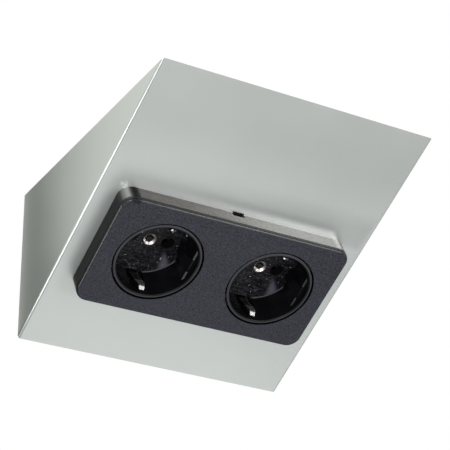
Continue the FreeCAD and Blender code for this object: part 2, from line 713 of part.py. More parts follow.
def earth_strap():
    """The sprung earth contact: one stamping with a cross strap and two ears for each socket, and
    a link between the sockets that also seats the bonding pillar."""
    foot_y = RECESS_R - EAR_FOOT_INSET
    bend_y = CONTACT_SHEET + CONTACT_BEND_R
    half_ear = [
        (RECESS_R - EAR_TIP_INSET, EAR_TIP_Z),
        (RECESS_R - EAR_NOSE_INSET, EAR_NOSE_Z),
        (foot_y, EAR_KNEE_Z),
        (foot_y, CUP_BOTTOM_Z),
    ]
    profile = [(-y, z) for y, z in half_ear] + list(reversed(half_ear))
    radii = [EAR_CURVE_R, EAR_CURVE_R, CONTACT_BEND_R]
    parts = []
    for x in SOCKET_X.values():
        points = [Vector(x - EAR_WIDTH / 2, y, z) for y, z in profile]
        strap = bent_strip(
            points, radii + radii[::-1], CONTACT_SHEET, Vector(EAR_WIDTH, 0, 0)
        )
        for side in (-1, 1):
            strap = strap.cut(beside_ear(side, x))
        collar_r = CENTRE_SHANK_D / 2 + THREAD_COLLAR_WALL
        collar = disc(collar_r, STRAP_BOTTOM_Z - THREAD_COLLAR_DEPTH, STRAP_BOTTOM_Z, x)
        base = box(
            x - EARTH_WIDTH / 2, x + EARTH_WIDTH / 2,
            bend_y - foot_y, foot_y - bend_y, STRAP_BOTTOM_Z, CUP_BOTTOM_Z,
        )
        parts += [strap, base, collar]
    low_x, high_x = sorted(SOCKET_X.values())
    parts.append(
        box(
            low_x, high_x,
            EARTH_LINK_Y - EARTH_LINK_WIDTH / 2, EARTH_LINK_Y + EARTH_LINK_WIDTH / 2,
            STRAP_BOTTOM_Z, CUP_BOTTOM_Z,
        )
    )
    strap = join(parts)
    for x in SOCKET_X.values():
        thread_z = STRAP_BOTTOM_Z - THREAD_COLLAR_DEPTH - OVERRUN
        strap = strap.cut(disc(CENTRE_SHANK_D / 2, thread_z, CUP_BOTTOM_Z + OVERRUN, x))
    return strap.cut(screw_hole(0, EARTH_LINK_Y, STRAP_BOTTOM_Z, CUP_BOTTOM_Z))


def lid_lip():
    """The low wall under the lid that drops inside the contact box, open at the corner bosses."""
    step = BOX_WALL + LID_LIP_GAP
    length, height = BOX_LENGTH - 2 * step, BOX_HEIGHT - 2 * step
    radius = BOX_CORNER_R - step
    low_z = LID_BOTTOM_Z - LID_LIP_DEPTH
    lip = rounded_plate(length, height, radius, low_z, LID_BOTTOM_Z)
    inside = box(
        LID_LIP_WALL - length / 2, length / 2 - LID_LIP_WALL,
        LID_LIP_WALL - height / 2, height / 2 - LID_LIP_WALL,
        low_z - OVERRUN, LID_BOTTOM_Z + OVERRUN,
    )
    lip = lip.cut(inside)
    for x, y in POSTS:
        boss_r = POST_R + LID_LIP_GAP
        lip = lip.cut(disc(boss_r, low_z - OVERRUN, LID_BOTTOM_Z + OVERRUN, x, y))
        outward_x, outward_y = math.copysign(BOX_LENGTH, x), math.copysign(BOX_HEIGHT, y)
        corner = Part.makePolygon(
            [
                Vector(x - math.copysign(boss_r, x), y, low_z - OVERRUN),
                Vector(x - math.copysign(boss_r, x), outward_y, low_z - OVERRUN),
                Vector(outward_x, outward_y, low_z - OVERRUN),
                Vector(outward_x, y - math.copysign(boss_r, y), low_z - OVERRUN),
                Vector(x, y - math.copysign(boss_r, y), low_z - OVERRUN),
                Vector(x - math.copysign(boss_r, x), y, low_z - OVERRUN),
            ]
        )
        lip = lip.cut(Part.Face(corner).extrude(Vector(0, 0, LID_LIP_DEPTH + 2 * OVERRUN)))
    return lip


def contact_box_lid():
    """The plate under the cups, sunk for the earth strap, with four posts up to the carrier."""
    lid = rounded_plate(BOX_LENGTH, BOX_HEIGHT, BOX_CORNER_R, LID_BOTTOM_Z, CUP_BOTTOM_Z)
    link_half = EARTH_LINK_WIDTH / 2 + STRIP_CLEARANCE
    strap_half = EARTH_WIDTH / 2 + STRIP_CLEARANCE
    foot_y = RECESS_R - EAR_FOOT_INSET + CONTACT_SHEET + STRIP_CLEARANCE
    sunk = [
        box(
            -SOCKET_PITCH / 2, SOCKET_PITCH / 2,
            EARTH_LINK_Y - link_half, EARTH_LINK_Y + link_half,
            STRAP_BOTTOM_Z, CUP_BOTTOM_Z + OVERRUN,
        )
    ]
    for x in SOCKET_X.values():
        sunk.append(
            box(x - strap_half, x + strap_half, -foot_y, foot_y, STRAP_BOTTOM_Z, CUP_BOTTOM_Z + OVERRUN)
        )
        collar_r = CENTRE_SHANK_D / 2 + THREAD_COLLAR_WALL + STRIP_CLEARANCE
        sunk.append(disc(collar_r, LID_BOTTOM_Z - OVERRUN, CUP_BOTTOM_Z + OVERRUN, x))
    for x in PIN_X:
        sunk.append(disc(PIN_HOLE_D / 2, LID_BOTTOM_Z - OVERRUN, CUP_BOTTOM_Z + OVERRUN, x))
    for cutter in sunk:
        lid = lid.cut(cutter)
    posts = [disc(POST_R, CUP_BOTTOM_Z, 0, x, y) for x, y in POSTS]
    lid = join([lid, lid_lip()] + posts)
    for x, y in POSTS:
        lid = lid.cut(screw_hole(x, y, LID_BOTTOM_Z - LID_LIP_DEPTH, 0))
    return lid.cut(screw_hole(0, EARTH_LINK_Y, LID_BOTTOM_Z, CUP_BOTTOM_Z))


def bar_ends():
    """How far a contact bar reaches to each side of the middle."""
    return max(abs(x) for x in PIN_X) + BAR_END


def contact_box():
    """The open box that holds the live pieces, with a screw boss in each corner, shallow pockets
    for the bars and a round hole for the cable grommet in its lower wall."""
    shell = rounded_plate(BOX_LENGTH, BOX_HEIGHT, BOX_CORNER_R, BOX_BOTTOM_Z, LID_BOTTOM_Z)
    hollow = rounded_plate(
        BOX_LENGTH - 2 * BOX_WALL, BOX_HEIGHT - 2 * BOX_WALL, BOX_CORNER_R - BOX_WALL,
        BOX_FLOOR_Z, LID_BOTTOM_Z + OVERRUN,
    )
    bosses = [disc(POST_R, BOX_BOTTOM_Z, LID_BOTTOM_Z, x, y) for x, y in POSTS]
    outline = rounded_plate(BOX_LENGTH, BOX_HEIGHT, BOX_CORNER_R, BOX_BOTTOM_Z, LID_BOTTOM_Z)
    shell = join([shell.cut(hollow)] + [boss.common(outline) for boss in bosses])
    for x, y in POSTS:
        shell = shell.cut(disc(SCREW_D / 2, LID_BOTTOM_Z - MODULE_SCREW_REACH, LID_BOTTOM_Z, x, y))
    reach = bar_ends() + STRIP_CLEARANCE
    for side in POLE_SIDE.values():
        pocket = box(
            -reach, reach,
            side * (BAR_FROM_AXIS - STRIP_CLEARANCE),
            side * (BAR_FROM_AXIS + BAR_WIDTH + STRIP_CLEARANCE),
            BAR_BOTTOM_Z, BOX_FLOOR_Z + OVERRUN,
        )
        shell = shell.cut(pocket)
    for x, y in RIVETS:
        shell = shell.cut(disc(RIVET_D / 2, BOX_BOTTOM_Z - OVERRUN, BOX_FLOOR_Z, x, y))
    entry = Part.makeCylinder(
        GROMMET_NECK_R, BOX_WALL + 2 * OVERRUN,
        Vector(0, -BOX_HEIGHT / 2 - OVERRUN, CABLE_ENTRY_Z), Vector(0, 1, 0),
    )
    return shell.cut(entry)


def contact_bar(pole):
    """The brass strip that joins the contacts of one pole in both sockets."""
    side = POLE_SIDE[pole]
    reach = bar_ends()
    bar = box(
        -reach, reach, side * BAR_FROM_AXIS, side * (BAR_FROM_AXIS + BAR_WIDTH),
        BAR_BOTTOM_Z, BAR_TOP_Z,
    )
    bar = bar.makeFillet(BAR_CORNER_R, upright_edges(bar))
    for x in SOCKET_X.values():
        hole_x = x + POLE_PIN[pole]
        hole = disc(RIVET_D / 2, BAR_BOTTOM_Z - OVERRUN, BAR_TOP_Z + OVERRUN, hole_x, side * BAR_Y)
        bar = bar.cut(hole)
    return bar


def tulip(pole, socket_x):
    """The sprung contact that grips one pin: two leaves on a tongue that is riveted to the bar."""
    side = POLE_SIDE[pole]
    x = socket_x + POLE_PIN[pole]
    base_z = BAR_TOP_Z + CONTACT_SHEET
    tip_z = LID_BOTTOM_Z - TULIP_TOP_DROP
    pinch_z = tip_z - TULIP_FLARE_HEIGHT
    pinch_half = PIN_D / 2 - TULIP_PINCH
    half_leaf = [
        (pinch_half + TULIP_FLARE, tip_z),
        (pinch_half, pinch_z),
        (TULIP_HALF_GAP, pinch_z - TULIP_SPRING_HEIGHT),
        (TULIP_HALF_GAP, base_z),
    ]
    profile = [(u, z) for u, z in half_leaf] + [(-u, z) for u, z in reversed(half_leaf)]
    points = [Vector(x + u, -TULIP_WIDTH / 2, z) for u, z in profile]
    radii = [TULIP_FLARE, TULIP_FLARE, CONTACT_BEND_R]
    leaves = bent_strip(
        points, radii + radii[::-1], CONTACT_SHEET, Vector(0, TULIP_WIDTH, 0)
    )
    tongue = box(
        x - TULIP_TONGUE_WIDTH / 2, x + TULIP_TONGUE_WIDTH / 2,
        0, side * (BAR_FROM_AXIS + BAR_WIDTH), BAR_TOP_Z, base_z,
    )
    contact = join([leaves, tongue])
    hole = disc(RIVET_D / 2, BAR_TOP_Z - OVERRUN, base_z + OVERRUN, x, side * BAR_Y)
    return contact.cut(hole)


def contact_rivets():
    """One rivet for each contact, through its tongue, the bar and the box floor."""
    shank_r, head_r = RIVET_D / 2, RIVET_HEAD_D / 2
    top_z = BAR_TOP_Z + CONTACT_SHEET
    rivet = turned(
        [
            (0, BOX_BOTTOM_Z - RIVET_HEAD_HEIGHT),
            (head_r, BOX_BOTTOM_Z - RIVET_HEAD_HEIGHT),
            (head_r, BOX_BOTTOM_Z),
            (shank_r, BOX_BOTTOM_Z),
            (shank_r, top_z),
            (head_r, top_z),
            (head_r, top_z + RIVET_HEAD_HEIGHT),
            (0, top_z + RIVET_HEAD_HEIGHT),
        ]
    )
    return Part.makeCompound([moved(rivet, x, y, 0) for x, y in RIVETS])


def terminal_block(pole):
    """A brass block on the bar with a cross bore for the wire, clamped by a screw from above."""
    terminal_x = POLE_TERMINAL_X[pole]
    y = POLE_SIDE[pole] * BAR_Y
    top_z = BAR_TOP_Z + TERMINAL_HEIGHT
    block = box(
        terminal_x - TERMINAL_LENGTH / 2, terminal_x + TERMINAL_LENGTH / 2,
        y - BAR_WIDTH / 2, y + BAR_WIDTH / 2, BAR_TOP_Z, top_z,
    )
    block = block.makeChamfer(TERMINAL_EDGE, edges_at(block, top_z))
    bore = Part.makeCylinder(
        TERMINAL_BORE_D / 2, BAR_WIDTH + 2 * OVERRUN,
        Vector(terminal_x, y - BAR_WIDTH / 2 - OVERRUN, BAR_TOP_Z + TERMINAL_BORE_RISE),
        Vector(0, 1, 0),
    )
    thread = disc(SCREW_D / 2, BAR_TOP_Z + TERMINAL_BORE_RISE, top_z + OVERRUN, terminal_x, y)
    return block.cut(bore).cut(thread)


def terminal_screws():
    """The two wire clamping screws of the line and neutral terminals."""
    top_z = BAR_TOP_Z + TERMINAL_HEIGHT
    bore_top = BAR_TOP_Z + TERMINAL_BORE_RISE + TERMINAL_BORE_D / 2
    screw = pan_screw(top_z - bore_top + TERMINAL_SCREW_GAP)
    screws = [
        moved(screw, POLE_TERMINAL_X[pole], side * BAR_Y, top_z)
        for pole, side in POLE_SIDE.items()
    ]
    return Part.makeCompound(screws)


def bonding_pillar():
    """The hexagonal brass pillar that joins the earth strap to the carrier."""
    pillar = hexagon(PILLAR_ACROSS_FLATS, CUP_BOTTOM_Z, 0, 0, EARTH_LINK_Y)
    return pillar.cut(disc(SCREW_D / 2, CUP_BOTTOM_Z - OVERRUN, OVERRUN, 0, EARTH_LINK_Y))


def bonding_screw():
    """The screw through the carrier into the top of the bonding pillar."""
    return moved(pan_screw(CARRIER_SHEET + BONDING_SCREW_GRIP), 0, EARTH_LINK_Y, CARRIER_SHEET)


def earth_terminal_screw():
    """The screw from below through clamp plate, lid and strap into the bonding pillar."""
    length = EARTH_CLAMP_THICKNESS + LID_THICKNESS + BONDING_SCREW_GRIP
    screw = pan_screw(length)
    screw.rotate(Vector(0, 0, 0), Vector(1, 0, 0), 180)
    return moved(screw, 0, EARTH_LINK_Y, LID_BOTTOM_Z - EARTH_CLAMP_THICKNESS)


def earth_clamp_plate():
    """The square plate that presses the earth wire against the lid."""
    plate = rounded_plate(
        EARTH_CLAMP_SIDE, EARTH_CLAMP_SIDE, TERMINAL_EDGE,
        LID_BOTTOM_Z - EARTH_CLAMP_THICKNESS, LID_BOTTOM_Z,
    )
    plate = plate.cut(screw_hole(0, 0, LID_BOTTOM_Z - EARTH_CLAMP_THICKNESS, LID_BOTTOM_Z))
    return moved(plate, 0, EARTH_LINK_Y, 0)


def module_screws():
    """The four long screws that hang lid and contact box under the carrier."""
    length = CARRIER_SHEET - LID_BOTTOM_Z + MODULE_SCREW_REACH - SCREW_CLEARANCE
    screw = pan_screw(length)
    return Part.makeCompound([moved(screw, x, y, CARRIER_SHEET) for x, y in POSTS])


def carrier_screws():
    """The four screws that clamp the carrier to the sloping sheet."""
    length = CARRIER_SHEET + HOUSING_SHEET + NUT_HEIGHT + CARRIER_SCREW_TAIL
    screw = pan_screw(length)
    return Part.makeCompound([moved(screw, x, y, CARRIER_SHEET) for x, y in CARRIER_SCREWS])


def carrier_nuts():
    """The four nuts behind the sloping sheet."""
    nut = hexagon(NUT_ACROSS_FLATS, -HOUSING_SHEET - NUT_HEIGHT, -HOUSING_SHEET)
    nut = nut.cut(disc(SCREW_D / 2, -HOUSING_SHEET - NUT_HEIGHT - OVERRUN, OVERRUN))
    return Part.makeCompound([moved(nut, x, y, 0) for x, y in CARRIER_SCREWS])


def cable_grommet():
    """The rubber cable inlet in the contact box: a thick flange with the sealing bore outside,
    a wider neck through the wall and a lip inside."""
    flange_r = GROMMET_NECK_R + GROMMET_FLANGE_WIDTH
    lip_r = GROMMET_NECK_R + GROMMET_LIP_WIDTH
    relief_r = GROMMET_BORE_R + GROMMET_RELIEF
    outer_z = -GROMMET_FLANGE_THICKNESS
    inner_z = BOX_WALL + GROMMET_LIP_THICKNESS
    grommet = turned(
        [
            (GROMMET_BORE_R, outer_z),
            (flange_r - GROMMET_FLANGE_EDGE, outer_z),
            (flange_r, outer_z + GROMMET_FLANGE_EDGE),
            (flange_r, 0),
            (GROMMET_NECK_R, 0),
            (GROMMET_NECK_R, BOX_WALL),
            (lip_r, BOX_WALL),
            (GROMMET_NECK_R, inner_z),
            (relief_r, inner_z),
            (relief_r, outer_z + GROMMET_SEAL_LENGTH),
            (GROMMET_BORE_R, outer_z + GROMMET_SEAL_LENGTH),
        ]
    )
    grommet.rotate(Vector(0, 0, 0), Vector(1, 0, 0), -90)
    return moved(grommet, 0, -BOX_HEIGHT / 2, CABLE_ENTRY_Z)


def module_pieces():
    """Every piece that is drawn in the module frame, by name."""
    pieces = {
        "cover_frame": cover_frame(),
        "carrier_frame": carrier_frame(),
        "contact_box_lid": contact_box_lid(),
        "contact_box": contact_box(),
        "earth_strap": earth_strap(),
        "contact_rivets": contact_rivets(),
        "terminal_screws": terminal_screws(),
        "bonding_pillar": bonding_pillar(),
        "bonding_screw": bonding_screw(),
        "earth_terminal_screw": earth_terminal_screw(),
        "earth_clamp_plate": earth_clamp_plate(),
        "module_screws": module_screws(),
        "carrier_screws": carrier_screws(),
        "carrier_nuts": carrier_nuts(),
        "cable_grommet": cable_grommet(),
    }
    for side, x in SOCKET_X.items():
        pieces[f"socket_cup_{side}"] = socket_cup(x)
        pieces[f"centre_screw_{side}"] = centre_screw(x)
        for pole in POLE_SIDE:
            pieces[f"{pole}_tulip_{side}"] = tulip(pole, x)
    for pole in POLE_SIDE:
        pieces[f"{pole}_bar"] = contact_bar(pole)
        pieces[f"{pole}_terminal"] = terminal_block(pole)
    return pieces


def housing_pieces():
    """The pieces that are drawn in the part's own frame, by name."""
    return {
        "housing": housing(),
        "cabinet_angle_right": cabinet_angle(),
        "cabinet_angle_left": mirrored(cabinet_angle()),
        "wall_angle_right": wall_angle(),
        "wall_angle_left": mirrored(wall_angle()),
    }


def main():
    os.makedirs("parts", exist_ok=True)
    for name, piece in housing_pieces().items():
        piece.exportStep(f"parts/{name}.step")
    for name, piece in module_pieces().items():
        piece.Placement = MODULE.multiply(piece.Placement)
        piece.exportStep(f"parts/{name}.step")


main()
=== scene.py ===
import math
import bmesh
import bpy
from mathutils import Matrix, Vector


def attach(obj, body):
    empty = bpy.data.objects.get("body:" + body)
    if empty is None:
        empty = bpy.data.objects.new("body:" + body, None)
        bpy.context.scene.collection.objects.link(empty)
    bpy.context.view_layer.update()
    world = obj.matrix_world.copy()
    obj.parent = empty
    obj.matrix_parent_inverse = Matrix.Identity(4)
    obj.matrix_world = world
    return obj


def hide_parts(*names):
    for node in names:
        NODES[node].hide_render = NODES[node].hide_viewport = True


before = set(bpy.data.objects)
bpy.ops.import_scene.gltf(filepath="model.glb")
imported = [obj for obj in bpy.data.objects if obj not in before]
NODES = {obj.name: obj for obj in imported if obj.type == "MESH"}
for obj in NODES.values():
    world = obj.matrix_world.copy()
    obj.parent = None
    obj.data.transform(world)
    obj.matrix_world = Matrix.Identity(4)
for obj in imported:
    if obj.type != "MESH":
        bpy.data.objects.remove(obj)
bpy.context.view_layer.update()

# The sloping socket plate has its own axes: across, up the slope and out of the plate.
ACROSS = Vector((1.0, 0.0, 0.0))
UP_SLOPE = Vector((0.0, -0.88303, 0.46931))
OUTWARD = Vector((0.0, -0.46931, -0.88303))
PLATE_CENTRE = Vector((0.0, -0.003229, -0.045054))
MM = 0.001
PLATE_TURN = Matrix((ACROSS, UP_SLOPE, OUTWARD)).transposed().to_4x4()
TO_PLATE = Matrix.Translation(PLATE_CENTRE) @ PLATE_TURN

# Where the sockets and their floors lie, in millimetres from the plate's centre.
SOCKET_X = {"left": -30.0, "right": 30.0}
CUP_FLOOR = -8.0

# Each socket's centre screw: radius and height in millimetres, from the cup's floor.
SCREW_OUTLINE = [
    (0.0, -6.0),
    (1.5, -6.0),
    (1.7, -5.8),
    (1.7, -1.5),
    (3.2, -0.2),
    (3.3, -0.05),
    (3.25, 0.05),
    (3.15, 0.08),
    (3.05, 0.02),
    (2.9, -0.12),
    (2.4, -0.55),
    (2.0, -0.85),
    (1.6, -1.25),
    (1.1, -1.8),
    (0.5, -2.1),
    (0.0, -2.15),
]
SHANK_R = 1.7
# The cross recess: its reach, how far its lobes bulge, its depth limit and how far it is turned.
RECESS_R = 2.4
RECESS_LOBE = 0.28
RECESS_LOBES = 4.0
RECESS_LIMIT = -3.0
RECESS_TURN = 20.0

# A foam ring between each cup and the steel under the cover: radius and height, in millimetres.
SEAL_OUTLINE = [
    (20.75, 1.7),
    (20.9, 1.55),
    (21.6, 1.55),
    (21.8, 1.75),
    (21.8, 2.6),
    (21.55, 2.9),
    (21.0, 2.9),
    (20.75, 2.7),
    (20.75, 1.7),
]
# A black foam pad behind the blade slot in the sheet, put there as painted shade in the slot, in
# millimetres.
PAD_CENTRE = (0.0, 29.6, -2.05)
PAD_HALF = (4.6, 2.2, 0.75)
PAD_EDGE = 0.3
PAD_EDGE_STEPS = 3

# Steps in a full turn, the millimetres within which points merge, and the degrees past which an
# edge stays sharp.
TURN_STEPS = 64
MERGE_DISTANCE = 0.001
SHARP_ANGLE = 40.0

# The camera looks up at the plate from the front left, below the cabinet.
CAMERA_PLACE = Vector((-0.366738, -0.642976, -0.403676))
CAMERA_LOOK = Vector((0.449934, 0.767216, 0.457098))
CAMERA_UP = Vector((-0.223097, -0.399045, 0.889377))
CAMERA_LENS = 139.35
SENSOR_WIDTH = 36.0
CAMERA_REACH = (0.01, 20.0)

FLOOR_Z = -0.95
FLOOR_HALF = 4.0
FLOOR_COLOUR = (0.7, 0.7, 0.7, 1.0)
PAPER_ROUGHNESS = 0.9
WHITE = (1.0, 1.0, 1.0, 1.0)
AMBIENT = 0.42

# Soft lamps: where each stands, the side of its square and its power in watts.
LAMPS = {
    "front_softbox": (Vector((0.46, -0.70, -0.50)), 0.36, 4.1),
    "edge_softbox": (Vector((0.46, -0.91, -0.10)), 0.20, 1.2),
    "fold_softbox": (Vector((-0.62, 0.12, -0.475)), 0.25, 1.1),
    "under_softbox": (Vector((0.22, 0.22, -0.50)), 0.35, 0.29),
    "camera_softbox": (Vector((-0.30, -0.711, -0.635)), 0.12, 6.5),
}

# Cards that only reflections show: the centre, two half sides and the shade of each.
CARDS = {
    "cheek_card": ((-0.094, 0.066, -0.005), (0.017, 0.0, 0.0), (0.0, 0.0, 0.125), 0.0),
    "low_card": ((-0.107, 0.066, -0.078), (0.030, 0.0, 0.0), (0.0, 0.0, 0.055), 0.0),
    "left_card": ((-0.32, 0.02, -0.62), (0.14, 0.0, 0.0), (0.0, 0.22, 0.0), 0.02),
    "ceiling_card": ((0.35, -0.75, 0.42), (0.7, 0.0, 0.0), (0.0, 0.45, 0.0), 0.02),
}

# Noise patterns. "stretch" draws one out along the axes, and "flecks" keeps what lies between two
# values as a smooth step from 0 to 1. A row without "rough" has the even one.
EVEN_ROUGH = 0.5
PATTERNS = {
    "sheet_cloud": {"scale": 22.0, "detail": 3.0},
    "sheet_grain": {"scale": 2600.0, "detail": 2.0},
    "zinc_patches": {"scale": 160.0, "detail": 4.0, "rough": 0.6},
    "zinc_grain": {"scale": 1800.0, "detail": 2.0},
    "cover_speckle": {"scale": 1350.0, "detail": 2.0, "rough": 0.6, "flecks": (0.34, 0.68)},
    "cover_pits": {"scale": 5200.0, "detail": 1.0},
    "cover_cloud": {"scale": 35.0, "detail": 2.0},
    "ledge_streaks": {
        "scale": 900.0, "detail": 2.0,
        "stretch": (12.0, 1.0, 1.0), "flecks": (0.35, 0.65),
    },
    "cup_cloud": {"scale": 90.0, "detail": 2.0},
    "cup_grain": {"scale": 2600.0, "detail": 2.0},
    "cup_lint": {"scale": 1000.0, "detail": 3.0, "rough": 0.7, "flecks": (0.56, 0.72)},
    "cup_specks": {"scale": 820.0, "detail": 1.0, "flecks": (0.72, 0.77)},
    "cup_streaks": {
        "scale": 900.0, "detail": 3.0, "rough": 0.7,
        "stretch": (4.0, 1.0, 1.0), "flecks": (0.42, 0.7),
    },
    "box_cloud": {"scale": 60.0, "detail": 4.0, "rough": 0.6},
    "box_grain": {"scale": 1500.0, "detail": 3.0},
    "tarnish": {"scale": 240.0, "detail": 4.0, "rough": 0.65},
    "drawing_marks": {"scale": 700.0, "detail": 2.0, "stretch": (1.0, 0.08, 1.0)},
    "screw_marks": {"scale": 700.0, "detail": 3.0, "rough": 0.6},
    "strap_marks": {"scale": 900.0, "detail": 2.0},
    "rubber_bloom": {"scale": 400.0, "detail": 4.0, "rough": 0.6},
    "foam_cells": {"scale": 3000.0, "detail": 2.0},
}

# Where a finish changes, in millimetres from the plate's centre: the start and end of each change.
ZONES = {
    "sheet_plate": (-1.6, -1.1),
    "plate_shade_rise": (34.0, 75.0),
    "fold_side": (69.9, 70.4),
    "fold_height": (-1.1, -0.6),
    "band_sides": (67.0, 70.0),
    "band_start": (26.0, 30.0),
    "band_end": (38.0, 50.0),
    "band_rise": (-35.0, 25.0),
    "cover_face": (9.1, 9.45),
    "cover_bevel": (8.2, 8.8),
    "cover_rise": (-60.0, 60.0),
    "cover_side": (59.4, 60.0),
    "groove_start": (6.9, 7.3),
    "groove_end": (8.5, 8.8),
    "corner_side": (54.5, 57.5),
    "corner_end": (23.0, 27.0),
    "shade_start": (51.0, 53.5),
    "shade_end": (56.0, 57.5),
    "shade_up": (27.0, 28.5),
    "ledge_up": (29.5, 30.05),
    "ledge_height": (7.4, 8.0),
    "ledge_end": (51.0, 55.0),
    "cup_rim": (8.6, 9.0),
    "cup_ring": (19.9, 20.35),
    "cup_floor": (-7.9, -7.6),
    "cup_deep": (-8.15, -8.02),
    "wedge_width": (-2.6, 0.6),
    "wedge_start": (2.0, 10.0),
    "floor_edge": (18.7, 19.1),
    "edge_down": (7.0, 9.0),
    "edge_right": (3.0, 7.0),
    "screw_dish": (CUP_FLOOR - 0.95, CUP_FLOOR - 0.5),
    "screw_rim": (CUP_FLOOR - 0.1, CUP_FLOOR + 0.02),
    "screw_shade_reach": (1.1, 2.2),
    "upper_ears": (9.0, 12.0),
    "ear_gleam": (0.6, 1.1),
    "ear_highlight_edge": (1.3, 2.4),
    "ear_tip": (0.6, 1.8),
}
# The wedge of painted light on a cup's floor: where its middle line starts, its lean and its
# spread.
WEDGE_START, WEDGE_LEAN, WEDGE_SPREAD = 7.9, 0.44, 0.28
# The side of a screw that gets painted shade, as parts of up and of left, and where a painted gleam
# lies on an upper ear.
SCREW_SHADE_UP, SCREW_SHADE_LEFT = 0.5, 0.87
GLEAM_X = -1.3

# Colours as red, green and blue: pairs run from the low to the high end of a pattern.
STEEL = ((0.545, 0.58, 0.558), (0.625, 0.655, 0.636))
# Painted light: the cheeks' colour is lifted above the plate's, for how brightly they are lit.
CHEEK_PAINTED_LIGHT = (1.10, 1.11, 1.06)
# Painted light and shade: the plate is lighter low down and darker up the slope.
PLATE_PAINTED_LIGHT_AND_SHADE = ((1.06, 1.06, 1.065), (0.90, 0.90, 0.90))
ZINC = ((0.50, 0.53, 0.56), (0.70, 0.72, 0.73))
COVER_SKIN = ((0.0, 0.0, 0.0015), (0.0235, 0.027, 0.040))
COVER_WALL = (0.002, 0.002, 0.0025)
# Painted light on the cover's upper ledge, streaked and tinted brown.
LEDGE_PAINTED_LIGHT = ((0.008, 0.003, 0.001), (0.046, 0.027, 0.021))
CUP_WALL = ((0.0025, 0.0025, 0.003), (0.005, 0.005, 0.006))
CUP_DUST = ((0.002, 0.0018, 0.003), (0.085, 0.08, 0.09))
# Painted light on the cups' floors: a pool in a wedge and a highlight at the lower edge.
CUP_PAINTED_LIGHT = (0.075, 0.075, 0.092)
CUP_SPECK = (0.35, 0.34, 0.35)
# Painted shade below the cups' floors, in their holes.
CUP_DEEP_SHADE = (0.001, 0.001, 0.001)
CUP_RING = (0.034, 0.034, 0.039)
BOX_GREY = ((0.20, 0.21, 0.22), (0.28, 0.29, 0.30))
# Near-black lid, as painted shade seen through the pin holes.
LID_SHADE_BLACK = ((0.003, 0.003, 0.003), (0.009, 0.009, 0.01))
BRONZE = ((0.26, 0.22, 0.17), (0.48, 0.42, 0.34))
BRASS = ((0.56, 0.38, 0.15), (0.78, 0.57, 0.27))
NICKEL = ((0.56, 0.54, 0.51), (0.80, 0.79, 0.76))
SCREW_NICKEL = ((0.70, 0.66, 0.64), (0.92, 0.90, 0.88))
# Painted shade and dark reflection on the screw heads.
SCREW_PAINTED_SHADE = (0.02, 0.018, 0.017)
STRAP_STEEL = ((0.36, 0.36, 0.35), (0.72, 0.71, 0.70))
# Painted shade on the ears, away from their painted highlights.
STRAP_PAINTED_DARK = (0.07, 0.07, 0.068)
# The upper ears: painted shade with a painted gleam.
UPPER_EAR_PAINTED_GLEAM = ((0.025, 0.025, 0.025), (0.35, 0.35, 0.34))
RUBBER = ((0.012, 0.012, 0.012), (0.035, 0.034, 0.033))
FOAM = ((0.002, 0.002, 0.002), (0.012, 0.012, 0.012))

